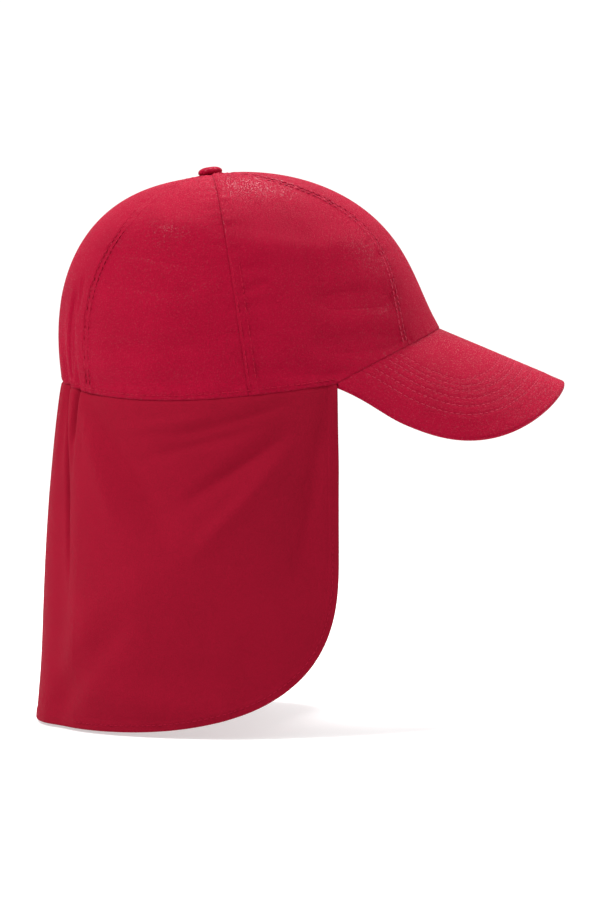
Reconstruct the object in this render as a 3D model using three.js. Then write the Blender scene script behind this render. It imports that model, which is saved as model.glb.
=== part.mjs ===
// A legionnaire cap: a soft cotton crown of six panels with a covered button on top,
// a curved stitched peak, and a neck flap that hangs from the sides and back of the rim.
// Millimetres and degrees. +X points ahead to the peak, +Y to the wearer's left and +Z up.
// The origin is the middle of the head opening.
import * as THREE from "three";

// The head opening, measured on the outside of the rim, in the crown's own frame
const openingLength = 199;
const openingWidth = 170;
const openingEgg = 0.05; // the share by which the opening is wider behind than ahead
const wearTilt = 7.8; // how far the front of the cap is raised as it is worn

// The crown above the opening
const crownHeight = 95.5;
const crownWall = 1.5;
const buttonBehind = 8; // from the middle of the opening back to the button
const seamGap = 0.3; // clearance between pieces that are sewn together
const fellWidth = 4.8; // the folded seam allowance that is stitched down beside a seam
const fellLift = 0.5;
const fellSlope = 0.8; // the width over which its edge comes down
const tipRadius = 3.2; // the hole that the panel tips leave for the button's stem

// How the crown rounds over on each side: shoulder and dome are the powers of the curve
// across and up, and slope is the share of the reach taken off low down.
const crownSections = {
  front: { shoulder: 2.05, dome: 1.98, slope: 0.37 },
  side: { shoulder: 2.5, dome: 2.2, slope: 0.1 },
  back: { shoulder: 2.68, dome: 2.22, slope: 0 },
};

// The seams on the left half, from front to back: the angle at the rim and at the button, and
// how far the seam bows towards the middle of the front on its way up. The felled allowance
// lies behind the front seam and ahead of the side and back seams.
const seams = {
  front: { rim: 35, top: 60, bow: 10 },
  side: { rim: 91.5, top: 91, bow: 0 },
  back: { rim: 149, top: 129, bow: 2 },
};

// The peak, cut flat and bent round a cylinder that droops ahead of the crown
const peakLength = 70.6;
const peakHalfWidth = 97.5; // along the cloth, from the middle to the side edge
const peakPower = 2.5; // how square the front outline is
const peakBendRadius = 85.2;
const peakDroop = 30.5; // below the plane of the opening
const peakSpread = 64; // angle round the rim where each end of the peak is sewn in
const peakWall = 3.2;
const peakClear = 0.45; // from the peak up to the rim that is sewn to it
const peakEdgeRound = 1.2;
const peakEndWidth = 2;
const peakRearTaper = 148; // long radius of the side edges behind the widest point

// The rim behind the peak
const rimBackRise = 0;
const rimLevelPower = 1.6; // how long the rim stays low behind the peak

// The elastic gathers at the back of the rim, in the crown and in the flap
const gatherSpan = 70;
const gatherCount = 7;
const gatherDepth = 2.2;
const gatherRise = 46; // how far up the crown they reach
const gatherFall = 60; // how far down the flap they reach

// The neck flap
const flapLength = 175.5;
const flapWall = 1.2;
const flapSetback = 2.3; // from the end of the peak to the flap's front edge
const flapCorner = { width: 140, height: 92, power: 2.8 };
const flapHem = 5;
const flapHemFold = 0.7;
const flapEase = 0.8; // how soon the flare comes in below the rim

// How far the flap stands away from the line of the rim at its hem, and its soft folds: at is
// the angle round the rim, slant the angle that a fold moves back by from the rim to the hem,
// wide its half width, deep its depth, and begins and ends are shares of the way down.
const flapFlare = { front: 0, side: 3, back: 11 };
const flapFolds = [
  { at: 76, slant: 0, wide: 7, deep: -2.2, begins: 0, ends: 0.75 },
  { at: 142, slant: -62, wide: 9, deep: -2.5, begins: 0, ends: 0.7 },
  { at: 60, slant: 108, wide: 20, deep: 3, begins: 0.1, ends: 1.6 },
  { at: 162, slant: -8, wide: 7, deep: -3.2, begins: 0, ends: 1.2 },
];
const foldFade = 0.35; // the share of the way down over which a fold comes and goes

// The covered button
const buttonRadius = 6.3;
const buttonHeight = 4;
const buttonStemRadius = 2;
const buttonStemReach = 3; // below the crown's outer face

// How finely the cloth is divided
const panelRows = 13;
const flapRows = 13;
const peakColumns = 30;
const peakRows = 5;
const cornerColumns = 9;

const cloth = new THREE.MeshStandardMaterial({ color: 0xae1836, roughness: 0.9, metalness: 0 });
const darkCloth = new THREE.MeshStandardMaterial({ color: 0xa01632, roughness: 0.9, metalness: 0 });

const halfTurn = Math.PI;
const rad = THREE.MathUtils.degToRad;
const clamp = THREE.MathUtils.clamp;
const ease = (share) => THREE.MathUtils.smoothstep(share, 0, 1);
const mix = THREE.MathUtils.lerp;

// An angle brought into the range from minus to plus half a turn
function wrapped(angle) {
  return Math.atan2(Math.sin(angle), Math.cos(angle));
}

// The value that a table gives at an angle, from its front, side and back rows
function round(table, angle, column) {
  const pick = (row) => (column ? row[column] : row);
  const ahead = Math.cos(angle);
  const front = Math.max(ahead, 0) ** 2;
  const back = Math.max(-ahead, 0) ** 2;
  const side = 1 - front - back;
  return pick(table.front) * front + pick(table.side) * side + pick(table.back) * back;
}

// The outline of the opening in plan, inset is the distance in from the outer face
function openingPoint(angle, inset) {
  const long = openingLength / 2 - inset;
  const wide = openingWidth / 2 - inset;
  const egg = 1 - openingEgg * Math.cos(angle);
  return { x: long * Math.cos(angle), y: wide * Math.sin(angle) * egg };
}

// The peak's surface: across is measured round its bend and ahead along its droop
const droop = rad(peakDroop);
function peakPoint(across, ahead, below) {
  const bend = across / peakBendRadius;
  const radius = peakBendRadius - below;
  const drop = peakBendRadius - radius * Math.cos(bend);
  const x = openingLength / 2 + ahead * Math.cos(droop) - drop * Math.sin(droop);
  const z = -ahead * Math.sin(droop) - drop * Math.cos(droop);
  return new THREE.Vector3(x, radius * Math.sin(bend), z);
}

// Where a point of the plan lies on the peak: how far across and ahead
function onPeak(x, y) {
  const bend = Math.asin(clamp(y / peakBendRadius, -1, 1));
  const drop = peakBendRadius * (1 - Math.cos(bend));
  const ahead = (x - openingLength / 2 + drop * Math.sin(droop)) / Math.cos(droop);
  return { across: bend * peakBendRadius, ahead };
}

// The height of the rim: it rests on the peak in front and runs level round the back
function rimHeight(angle, inset) {
  const spread = rad(peakSpread);
  const size = Math.abs(wrapped(angle));
  const plan = openingPoint(Math.min(size, spread), inset);
  const seat = onPeak(plan.x, plan.y);
  const height = peakPoint(seat.across, seat.ahead, 0).z + peakClear;
  if (size <= spread) return height;
  const behind = (size - spread) / (halfTurn - spread);
  return mix(height, rimBackRise, ease(behind ** rimLevelPower));
}

// How far the gathers draw the cloth in at an angle, as a share of their depth
function gather(angle) {
  const half = rad(gatherSpan) / 2;
  const away = wrapped(angle - halfTurn) / half;
  if (Math.abs(away) >= 1) return 0;
  const wave = 0.5 - 0.5 * Math.cos(away * halfTurn * gatherCount);
  return wave * ease(3 * (1 - Math.abs(away)));
}

// The crown's surface at an angle and at a turn that runs from 0 at the rim to a quarter at the top
function crownPoint(angle, turn, inset, lift) {
  const plan = openingPoint(angle, inset);
  const shape = (column) => round(crownSections, angle, column);
  const height = Math.sin(turn) ** (2 / shape("dome"));
  const shaved = shape("slope") * height * (1 - height) ** 3;
  const reach = Math.cos(turn) ** (2 / shape("shoulder")) - shaved;
  const rim = rimHeight(angle, inset);
  const up = (crownHeight - inset - rim) * height;
  const drawn = gatherDepth * gather(angle) * (1 - ease(up / gatherRise));
  const spokeX = plan.x + buttonBehind;
  const tip = tipRadius / Math.hypot(spokeX, plan.y);
  const along = mix(tip, 1, reach);
  const point = new THREE.Vector3(spokeX * along - buttonBehind, plan.y * along, rim + up);
  const out = new THREE.Vector3(plan.x, plan.y, 0).normalize();
  out.multiplyScalar(Math.cos(turn)).setZ(Math.sin(turn));
  return point.addScaledVector(out, lift).addScaledVector(out.setZ(0), -drawn);
}

// The angle of a seam at a turn up the crown
function seamAngle(seam, turn) {
  const bow = seam.bow * Math.abs(Math.sin(2 * turn)) ** 1.5;
  return rad(mix(seam.rim, seam.top, Math.sin(turn) ** 4) - bow);
}

// A closed shell between an outer and an inner grid of points, both listed column by column
function shell(outer, inner) {
  const columns = outer.length;
  const rows = outer[0].length;
  const points = [...outer.flat(), ...inner.flat()];
  const innerStart = columns * rows;
  const faces = [];
  const quad = (a, b, c, d) => faces.push(a, b, c, a, c, d);
  const at = (i, j) => i * rows + j;
  for (let i = 0; i + 1 < columns; i++) {
    for (let j = 0; j + 1 < rows; j++) {
      quad(at(i, j), at(i + 1, j), at(i + 1, j + 1), at(i, j + 1));
      const low = [at(i, j + 1), at(i + 1, j + 1), at(i + 1, j), at(i, j)];
      quad(...low.map((n) => n + innerStart));
    }
  }
  const wall = (a, b) => quad(b, a, a + innerStart, b + innerStart);
  for (let i = 0; i + 1 < columns; i++) {
    wall(at(i, 0), at(i + 1, 0));
    wall(at(i + 1, rows - 1), at(i, rows - 1));
  }
  for (let j = 0; j + 1 < rows; j++) {
    wall(at(0, j + 1), at(0, j));
    wall(at(columns - 1, j), at(columns - 1, j + 1));
  }
  const geometry = new THREE.BufferGeometry().setFromPoints(points);
  geometry.setIndex(faces);
  geometry.computeVertexNormals();
  return geometry;
}

function named(name, geometry, material) {
  const mesh = new THREE.Mesh(geometry, material);
  mesh.name = name;
  return mesh;
}

// Shares from 0 to 1 in equal steps
function steps(count) {
  return Array.from({ length: count + 1 }, (_, i) => i / count);
}

// Where a panel's columns lie across its width at one height. felled names the edges where the
// allowance is stitched down, and there two columns mark its width.
function panelColumns(width, count, felled) {
  const fell = Math.min(fellWidth, width / 4);
  const slope = Math.min(fellSlope, width / 12);
  const from = felled.start ? fell + slope : 0;
  const to = felled.end ? width - fell - slope : width;
  const plain = steps(count).map((share) => ({ place: mix(from, to, share), raised: false }));
  const before = felled.start ? [0, fell] : [];
  const after = felled.end ? [width - fell, width] : [];
  const raise = (place) => ({ place, raised: true });
  return [...before.map(raise), ...plain, ...after.map(raise)];
}

// One panel between two seams
function panel(name, from, to, count, felled) {
  const turns = steps(panelRows).map((share) => share * (halfTurn / 2));
  const rows = (inset) =>
    turns.map((turn) => {
      const start = seamAngle(from, turn);
      const end = seamAngle(to, turn);
      const middle = crownPoint(mix(start, end, 0.5), turn, 0, 0);
      const radius = Math.hypot(middle.x + buttonBehind, middle.y);
      const width = (end - start) * radius - seamGap;
      const showing = radius > buttonRadius + fellSlope;
      return panelColumns(width, count, felled).map(({ place, raised }) => {
        const angle = start + (seamGap / 2 + place) / radius;
        const lift = raised && showing && inset === 0 ? fellLift : 0;
        return crownPoint(angle, turn, inset, lift);
      });
    });
  const turned = (grid) => grid[0].map((_, i) => grid.map((row) => row[i]));
  return named(name, shell(turned(rows(0)), turned(rows(crownWall))), cloth);
}

// The same seam on the wearer's right
function mirrored(seam) {
  return { rim: -seam.rim, top: -seam.top, bow: -seam.bow };
}

function crownPanels() {
  const { front, side, back } = seams;
  const farBack = { rim: 360 - back.rim, top: 360 - back.top, bow: -back.bow };
  return [
    panel("front_panel", mirrored(front), front, 20, {}),
    panel("left_side_panel", front, side, 14, { start: true, end: true }),
    panel("right_side_panel", mirrored(side), mirrored(front), 14, { start: true, end: true }),
    panel("left_back_panel", side, back, 12, { end: true }),
    panel("right_back_panel", mirrored(back), mirrored(side), 12, { start: true }),
    panel("rear_panel", back, farBack, 26, {}),
  ];
}

// The peak's outline in the flat, from one end round the front to the other
function peakOutline(share) {
  const side = Math.sign(share) || 1;
  const endPlan = openingPoint(rad(peakSpread), 0);
  const end = onPeak(endPlan.x, endPlan.y);
  const rear = { across: end.across + peakEndWidth, ahead: end.ahead };
  const frontShare = 0.8;
  const far = Math.abs(share);
  if (far <= frontShare) {
    const turn = (far / frontShare) * (halfTurn / 2);
    const across = peakHalfWidth * Math.sin(turn) ** (2 / peakPower);
    return { across: side * across, ahead: peakLength * Math.cos(turn) ** (2 / peakPower) };
  }
  const back = (far - frontShare) / (1 - frontShare);
  const ahead = rear.ahead * back;
  const bowed = peakHalfWidth * Math.sqrt(1 - (ahead / peakRearTaper) ** 2);
  const across = mix(bowed, rear.across, ease(back));
  return { across: side * across, ahead };
}

function peak() {
  const inner = (share) => {
    const plan = openingPoint(rad(peakSpread) * share, crownWall);
    return onPeak(plan.x, plan.y);
  };
  const rows = [...steps(peakRows).slice(0, -1), 1];
  const grid = (top) =>
    Array.from({ length: peakColumns + 1 }, (_, i) => {
      const share = 1 - (2 * i) / peakColumns;
      const root = inner(share);
      const edge = peakOutline(share);
      const long = Math.hypot(edge.across - root.across, edge.ahead - root.ahead);
      const rounded = Math.min(peakEdgeRound / long, 0.4);
      const at = (along, below) =>
        peakPoint(
          mix(root.across, edge.across, along),
          mix(root.ahead, edge.ahead, along),
          below,
        );
      const flat = rows.map((row) => at(row * (1 - rounded), top ? 0 : peakWall));
      const nose = at(1, peakWall * (top ? 0.35 : 0.65));
      return [...flat, nose];
    });
  return named("peak", shell(grid(true), grid(false)), cloth);
}

// From the crown's frame to the frame of the worn cap
const worn = new THREE.Matrix4().makeRotationY(-rad(wearTilt));

// The flap's width along the rim, from its right front edge round the back to its left one
const flapStart = rad(peakSpread) + flapSetback / (openingWidth / 2);
const flapAngles = steps(240).map((share) => mix(flapStart, 2 * halfTurn - flapStart, share));
const flapRim = flapAngles.map((angle) => {
  const plan = openingPoint(angle, 0);
  return new THREE.Vector3(plan.x, plan.y, rimHeight(angle, 0)).applyMatrix4(worn);
});
const flapAlong = [0];
for (let i = 1; i < flapRim.length; i++) {
  flapAlong.push(flapAlong[i - 1] + flapRim[i].distanceTo(flapRim[i - 1]));
}
const flapWidth = flapAlong[flapAlong.length - 1];
const hemLevel = flapRim[(flapRim.length - 1) / 2].z - flapLength;

// The angle round the rim at a distance along it
function flapAngle(along) {
  const next = clamp(flapAlong.findIndex((length) => length >= along), 1, flapAlong.length - 1);
  const share = (along - flapAlong[next - 1]) / (flapAlong[next] - flapAlong[next - 1]);
  return mix(flapAngles[next - 1], flapAngles[next], share);
}

// The height of the hem line, or of a line that runs inside it by a margin
function hemHeight(along, margin) {
  const fromEdge = Math.min(along, flapWidth - along);
  const inward = clamp((flapCorner.width - fromEdge) / (flapCorner.width - margin), 0, 1);
  const fall = (1 - inward ** flapCorner.power) ** (1 / flapCorner.power);
  return hemLevel + flapCorner.height - (flapCorner.height - margin) * fall;
}

// The flap's surface at a distance along the rim and a height
function flapPoint(along, height, inset) {
  const angle = flapAngle(along);
  const plan = openingPoint(angle, inset);
  const top = new THREE.Vector3(plan.x, plan.y, rimHeight(angle, inset) - 2 * seamGap);
  top.applyMatrix4(worn);
  const down = top.z - height;
  const share = clamp(down / (top.z - hemLevel), 0, 1);
  const flare = round(flapFlare, angle) * Math.sin(share ** flapEase * (halfTurn / 2));
  const size = Math.abs(wrapped(angle));
  const folds = flapFolds.reduce((sum, fold) => {
    const away = (size - rad(fold.at + fold.slant * share)) / rad(fold.wide);
    const lasting = ease((share - fold.begins) / foldFade) * ease((fold.ends - share) / foldFade);
    return sum + fold.deep * Math.exp(-away * away) * lasting;
  }, 0);
  const drawn = gatherDepth * gather(angle) * (1 - ease(down / gatherFall));
  const out = new THREE.Vector3(Math.cos(angle), Math.sin(angle), 0);
  const point = new THREE.Vector3(top.x, top.y, height);
  return point.addScaledVector(out, flare + folds - drawn);
}

// Distances along the rim of the flap's columns: close together at the corners and the gathers
function flapColumns() {
  const corner = steps(cornerColumns).map((share) => {
    const inward = Math.cos((share * halfTurn) / 2) ** (2 / flapCorner.power);
    return flapCorner.width * (1 - inward);
  });
  const gathered = (rad(gatherSpan) / 2) * (openingLength / 2) * 0.9;
  const start = flapWidth / 2 - gathered;
  const between = steps(3).slice(1).map((share) => mix(flapCorner.width, start, share));
  const middle = steps(gatherCount * 3).slice(1).map((share) => mix(start, flapWidth / 2, share));
  const half = [...corner, ...between, ...middle];
  const otherHalf = half.slice(0, -1).reverse().map((along) => flapWidth - along);
  return [...half, ...otherHalf];
}

function flap() {
  const grid = (inside) =>
    flapColumns().reverse().map((along) => {
      const angle = flapAngle(along);
      const plan = openingPoint(angle, 0);
      const rim = new THREE.Vector3(plan.x, plan.y, rimHeight(angle, 0) - 2 * seamGap);
      const top = rim.applyMatrix4(worn).z;
      const hem = hemHeight(along, 0);
      const fromEdge = Math.min(along, flapWidth - along);
      const fold = fromEdge < flapHem ? mix(top, hem, 0.97) : hemHeight(along, flapHem);
      const heights = steps(flapRows).map((share) => mix(top, fold, share));
      return [...heights, hem].map((height, j) => {
        const inHem = j > flapRows || fromEdge < flapHem;
        const inset = inside ? flapWall + (inHem ? flapHemFold : 0) : 0;
        return flapPoint(along, height, inset);
      });
    });
  return named("neck_flap", shell(grid(false), grid(true)), darkCloth);
}

// The button: a domed disc with a stem through the panel tips
function button() {
  const low = seamGap;
  const rim = [0, 0.25, 0.5, 0.75, 1].map((share) => {
    const turn = share * (halfTurn / 2);
    const radius = buttonRadius * Math.cos(turn * 0.999) ** 0.8;
    return new THREE.Vector2(radius, low + buttonHeight * (0.35 + 0.65 * Math.sin(turn)));
  });
  rim[rim.length - 1].x = 0;
  const profile = [
    new THREE.Vector2(0, -buttonStemReach),
    new THREE.Vector2(buttonStemRadius, -buttonStemReach),
    new THREE.Vector2(buttonStemRadius, low),
    new THREE.Vector2(buttonRadius * 0.85, low),
    ...rim,
  ];
  const mesh = named("button", new THREE.LatheGeometry(profile, 24), cloth);
  mesh.rotation.x = halfTurn / 2;
  mesh.position.set(-buttonBehind, 0, crownHeight);
  return mesh;
}

const crown = new THREE.Group();
crown.rotation.y = -rad(wearTilt);
crown.add(...crownPanels(), peak(), button());

const cap = new THREE.Group();
cap.add(crown, flap());

export default cap;
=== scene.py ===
# %% [markdown]
# # A legionnaire cap with a long neck flap, in deep red cotton
#
# The real cap is cut from cotton twill: six crown panels meet under a covered button, a stiff
# stitched peak is sewn to the front of the rim, and a light neck flap hangs from the rest of it.
# Every piece is a surface of two parameters worked out with numpy, because a sewn panel is just
# that: one way runs along the seam, the other across the cloth. Lengths are millimetres until
# the meshes are made, which are in metres.

import bpy
import numpy as np
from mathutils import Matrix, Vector


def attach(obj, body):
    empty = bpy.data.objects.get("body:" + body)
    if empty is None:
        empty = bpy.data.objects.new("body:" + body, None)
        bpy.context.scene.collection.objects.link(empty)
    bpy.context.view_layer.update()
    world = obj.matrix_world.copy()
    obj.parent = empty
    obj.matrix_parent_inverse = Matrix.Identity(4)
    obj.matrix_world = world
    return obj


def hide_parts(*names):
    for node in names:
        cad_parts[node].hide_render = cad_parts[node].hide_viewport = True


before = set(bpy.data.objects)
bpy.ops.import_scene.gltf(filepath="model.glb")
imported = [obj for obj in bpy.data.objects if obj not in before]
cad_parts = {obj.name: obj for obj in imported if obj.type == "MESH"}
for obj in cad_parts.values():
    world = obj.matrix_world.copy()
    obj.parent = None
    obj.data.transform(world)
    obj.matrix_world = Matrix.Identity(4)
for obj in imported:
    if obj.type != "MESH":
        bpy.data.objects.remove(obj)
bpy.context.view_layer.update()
METRE = 0.001  # one millimetre
print("CAD nodes:", sorted(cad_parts))

# %% [markdown]
# ## The camera
# The photograph is taken from the wearer's right side with a long lens, only a little above the
# peak, so near and far edges almost coincide. The camera stands two metres away, and its lens is
# worked out from the size of the cap in the picture. A near camera would swell the peak.

# %% Camera at the photograph's angle
CAMERA_ABOVE = 3.0  # degrees
CAMERA_AWAY = 2000.0
CAMERA_AIM = (25.6, 0.0, -49.6)
PICTURE_SCALE = 0.522  # millimetres of the cap to a pixel
PICTURE_LONG_SIDE = 900
SENSOR = 36.0

elevation = np.radians(CAMERA_ABOVE)
look = np.array([0.0, np.cos(elevation), -np.sin(elevation)])
camera = bpy.data.objects.new("camera", bpy.data.cameras.new("camera"))
bpy.context.scene.collection.objects.link(camera)
camera.data.sensor_width = SENSOR
camera.data.lens = CAMERA_AWAY / PICTURE_SCALE * SENSOR / PICTURE_LONG_SIDE
camera.location = (np.array(CAMERA_AIM) - look * CAMERA_AWAY) * METRE
camera.rotation_euler = Vector(look).to_track_quat("-Z", "Y").to_euler()
bpy.context.scene.camera = camera
print(f"lens {camera.data.lens:.0f} mm at {CAMERA_AWAY * METRE:.1f} m")

# %% [markdown]
# ## The form that every piece shares
# The rim is an egg-shaped ring. In front it rests on the peak, which is a flat pattern bent round
# a drooping cylinder, and behind it runs level and rises a little at the nape. The crown rounds
# over from the rim to the button along meridians whose shoulders differ in front, at the side and
# behind, so a few numbers carry the whole shape. A sculpted mesh could look the same, but its
# seams, stitches and rim would each have to be fitted to it by eye.

# %% Sizes
OPENING_LENGTH = 199.0
OPENING_WIDTH = 170.0
OPENING_EGG = 0.05
WEAR_TILT = 7.8  # degrees
CROWN_HEIGHT = 95.5
CROWN_WALL = 1.3
BUTTON_BEHIND = 8.0
TIP_RADIUS = 2.6
# shoulder, dome and slope in front, at the side and behind
CROWN_SECTIONS = np.array([[2.05, 1.98, 0.37], [2.5, 2.2, 0.1], [2.68, 2.22, 0.0]])
PEAK_LENGTH = 70.6
PEAK_HALF_WIDTH = 97.5
PEAK_POWER = 2.5
PEAK_BEND_RADIUS = 85.2
PEAK_DROOP = 30.5  # degrees
PEAK_SPREAD = 64.0  # degrees round the rim from the middle to each end
PEAK_WALL = 3.2
PEAK_REAR_TAPER = 148.0
RIM_CLEAR = 0.1  # from the peak up to the rim
RIM_LEVEL_POWER = 1.6
GATHER_SPAN = 70.0  # degrees round the nape that the elastic draws in
GATHER_COUNT = 7
GATHER_DEPTH = 2.2
GATHER_RISE = 46.0  # how far the gathers run up the crown
GATHER_FALL = 60.0  # and down the flap


# %% Functions of the form
def ease(share):
    """A smooth step from 0 to 1: 3t^2 - 2t^3."""
    t = np.clip(share, 0, 1)
    return t * t * (3 - 2 * t)


def wrapped(angle):
    """An angle in radians brought between minus and plus half a turn."""
    return np.arctan2(np.sin(angle), np.cos(angle))


def around(rows, angle):
    """A blend of the front, side and back rows: cos^2 weights for front and back, the rest side."""
    ahead = np.cos(angle)
    front = np.maximum(ahead, 0) ** 2
    back = np.maximum(-ahead, 0) ** 2
    return rows[0] * front + rows[1] * (1 - front - back) + rows[2] * back


def bell(distance, width):
    """A smooth bump of height 1: exp(-(d / width)^2)."""
    return np.exp(-((distance / width) ** 2))


DEGREE_ROUND = 1.6  # millimetres that a degree spans round the cap


def creases(rows, angle, height):
    """Folds of soft cloth: each is its depth times a bell across it and a blunter one along it."""
    across = np.degrees(np.abs(wrapped(angle))) * DEGREE_ROUND
    total = 0
    for first_angle, first_height, last_angle, last_height, wide, deep in rows:
        start = np.array([first_angle * DEGREE_ROUND, first_height])
        step = np.array([last_angle * DEGREE_ROUND, last_height]) - start
        off_x, off_y = across - start[0], height - start[1]
        share = (off_x * step[0] + off_y * step[1]) / (step @ step)
        aside = (off_x * step[1] - off_y * step[0]) / np.hypot(*step)
        lasting = bell((share - 0.5) ** 2, 0.25)  # near 1 along most of the fold
        total = total + deep * bell(aside, wide) * lasting
    return total


def opening_point(angle, inset=0.0):
    """The rim in plan: an ellipse whose width grows by a small share towards the back."""
    egg = 1 - OPENING_EGG * np.cos(angle)
    x = (OPENING_LENGTH / 2 - inset) * np.cos(angle)
    return x, (OPENING_WIDTH / 2 - inset) * np.sin(angle) * egg


DROOP = np.radians(PEAK_DROOP)


def peak_point(across, ahead, below=0.0):
    """The peak's surface: a cylinder of the bend radius whose axis droops ahead of the rim."""
    bend = across / PEAK_BEND_RADIUS
    radius = PEAK_BEND_RADIUS - below
    drop = PEAK_BEND_RADIUS - radius * np.cos(bend)
    x = OPENING_LENGTH / 2 + ahead * np.cos(DROOP) - drop * np.sin(DROOP)
    z = -ahead * np.sin(DROOP) - drop * np.cos(DROOP)
    return np.stack([x, radius * np.sin(bend), z], axis=-1)


def on_peak(x, y):
    """Where a point of the plan lies on the peak: across round the bend and ahead along it."""
    bend = np.arcsin(np.clip(y / PEAK_BEND_RADIUS, -1, 1))
    drop = PEAK_BEND_RADIUS * (1 - np.cos(bend))
    return bend * PEAK_BEND_RADIUS, (x - OPENING_LENGTH / 2 + drop * np.sin(DROOP)) / np.cos(DROOP)


def rim_height(angle, inset=0.0):
    """The rim's height: on the peak up to its ends, then eased up to the nape."""
    spread = np.radians(PEAK_SPREAD)
    size = np.abs(wrapped(angle))
    x, y = opening_point(np.minimum(size, spread), inset)
    height = peak_point(*on_peak(x, y))[..., 2] + RIM_CLEAR
    behind = np.clip((size - spread) / (np.pi - spread), 0, 1)
    return height * (1 - ease(behind**RIM_LEVEL_POWER))


def gather(angle):
    """How far the elastic draws the cloth in: a wave that fades towards the ears."""
    away = wrapped(angle - np.pi) / (np.radians(GATHER_SPAN) / 2)
    uneven = away + 0.035 * np.sin(7.3 * away + 0.8) + 0.02 * np.sin(17.1 * away)
    wave = (0.5 - 0.5 * np.cos(uneven * np.pi * GATHER_COUNT)) ** 1.5
    return wave * ease(3 * (1 - np.abs(away)))


def crown_point(angle, turn, inset=0.0):
    """The crown in its own frame, from the rim at turn 0 to the button at a quarter turn.

    Height is sin(turn)^(2/dome) of the rise, and reach is cos(turn)^(2/shoulder) less a share
    taken off low down, both measured on the line from the button out to the rim.
    """
    shoulder, dome, slope = (around(CROWN_SECTIONS[:, k], angle) for k in range(3))
    x, y = opening_point(angle, inset)
    height = np.sin(turn) ** (2 / dome)
    reach = np.cos(turn) ** (2 / shoulder) - slope * height * (1 - height) ** 3
    rim = rim_height(angle, inset)
    up = (CROWN_HEIGHT - inset - rim) * height
    spoke = x + BUTTON_BEHIND
    tip = TIP_RADIUS / np.hypot(spoke, y)
    along = tip + (1 - tip) * reach
    drawn = GATHER_DEPTH * gather(angle) * (1 - ease(up / GATHER_RISE))
    size = np.hypot(x, y)
    return np.stack(
        [spoke * along - BUTTON_BEHIND - drawn * x / size, y * along - drawn * y / size, rim + up],
        axis=-1,
    )


def worn(points):
    """From the crown's frame to the worn cap's: the front is raised by the tilt."""
    c, s = np.cos(np.radians(WEAR_TILT)), np.sin(np.radians(WEAR_TILT))
    x, y, z = points[..., 0], points[..., 1], points[..., 2]
    return np.stack([x * c - z * s, y, x * s + z * c], axis=-1)


def unit(vectors):
    """Vectors brought to length 1: each divided by its own length."""
    return vectors / np.maximum(np.linalg.norm(vectors, axis=-1, keepdims=True), 1e-9)


def normals(grid):
    """Unit normals of a grid of points: the cross product of its two directions."""
    return unit(np.cross(np.gradient(grid, axis=0), np.gradient(grid, axis=1)))


sample = np.array([0, 64, 120, 180])
print("rim heights at", sample, "degrees:", rim_height(np.radians(sample)).round(1))

# %% [markdown]
# ## From grids to meshes
# A piece of cloth is two grids, an outer face and an inner one, closed all round by a strip of
# edge faces. The outer grid runs counter-clockwise seen from outside, which turns every face's
# normal outwards. Distances along the two directions are kept as the piece's UV map in metres,
# so that the weave has one scale everywhere. A Solidify modifier could give the wall, but with
# two grids the hem can be thicker than the rest.


# %% Mesh builders
def add_mesh(name, points, faces, uv=None, values=None):
    """Makes one object at the origin from points in millimetres and equal-sided faces."""
    mesh = bpy.data.meshes.new(name)
    count, sides = faces.shape
    mesh.vertices.add(len(points))
    mesh.vertices.foreach_set("co", (points * METRE).astype(np.float32).ravel())
    mesh.loops.add(count * sides)
    mesh.loops.foreach_set("vertex_index", faces.astype(np.int32).ravel())
    mesh.polygons.add(count)
    mesh.polygons.foreach_set("loop_start", np.arange(count, dtype=np.int32) * sides)
    mesh.polygons.foreach_set("loop_total", np.full(count, sides, dtype=np.int32))
    mesh.update(calc_edges=True)
    mesh.validate()
    if uv is not None:
        layer = mesh.uv_layers.new(name="cloth")
        layer.data.foreach_set("uv", (uv * METRE).astype(np.float32)[faces.ravel()].ravel())
    for key, column in (values or {}).items():
        attribute = mesh.attributes.new(key, "FLOAT", "POINT")
        attribute.data.foreach_set("value", column.astype(np.float32))
    mesh.shade_smooth()
    thing = bpy.data.objects.new(name, mesh)
    bpy.context.scene.collection.objects.link(thing)
    return thing


def grid_faces(columns, rows, start=0, flip=False):
    """The quads of a grid whose points are listed column by column."""
    i, j = np.meshgrid(np.arange(columns - 1), np.arange(rows - 1), indexing="ij")
    a = (i * rows + j).ravel() + start
    quads = np.stack([a, a + rows, a + rows + 1, a + 1], axis=1)
    return quads[:, ::-1] if flip else quads


def shell(name, outer, inner, uv, values=None):
    """A closed piece of cloth between an outer and an inner grid of the same size."""
    columns, rows = outer.shape[:2]
    half = columns * rows
    index = np.arange(half).reshape(columns, rows)
    loop = np.concatenate([index[:-1, 0], index[-1, :-1], index[:0:-1, -1], index[0, :0:-1]])
    after = np.roll(loop, -1)
    edge = np.stack([after, loop, loop + half, after + half], axis=1)
    faces = np.concatenate(
        [grid_faces(columns, rows), grid_faces(columns, rows, half, flip=True), edge]
    )
    points = np.concatenate([outer.reshape(-1, 3), inner.reshape(-1, 3)])
    flat = uv.reshape(-1, 2)
    doubled = {k: np.tile(v.ravel(), 2) for k, v in (values or {}).items()}
    return add_mesh(name, points, faces, np.concatenate([flat, flat]), doubled)


def lengths(points, axis):
    """Running length along one axis of a grid of points."""
    steps = np.linalg.norm(np.diff(points, axis=axis), axis=-1)
    start = np.zeros_like(np.take(steps, [0], axis=axis))
    return np.cumsum(np.concatenate([start, steps], axis=axis), axis=axis)


def cloth_uv(grid):
    """UV in millimetres: length across from the middle column and length up from the first row."""
    across = lengths(grid, 0)
    across = across - across[len(grid) // 2][None, :]
    return np.stack([across, lengths(grid, 1)], axis=-1)


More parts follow.
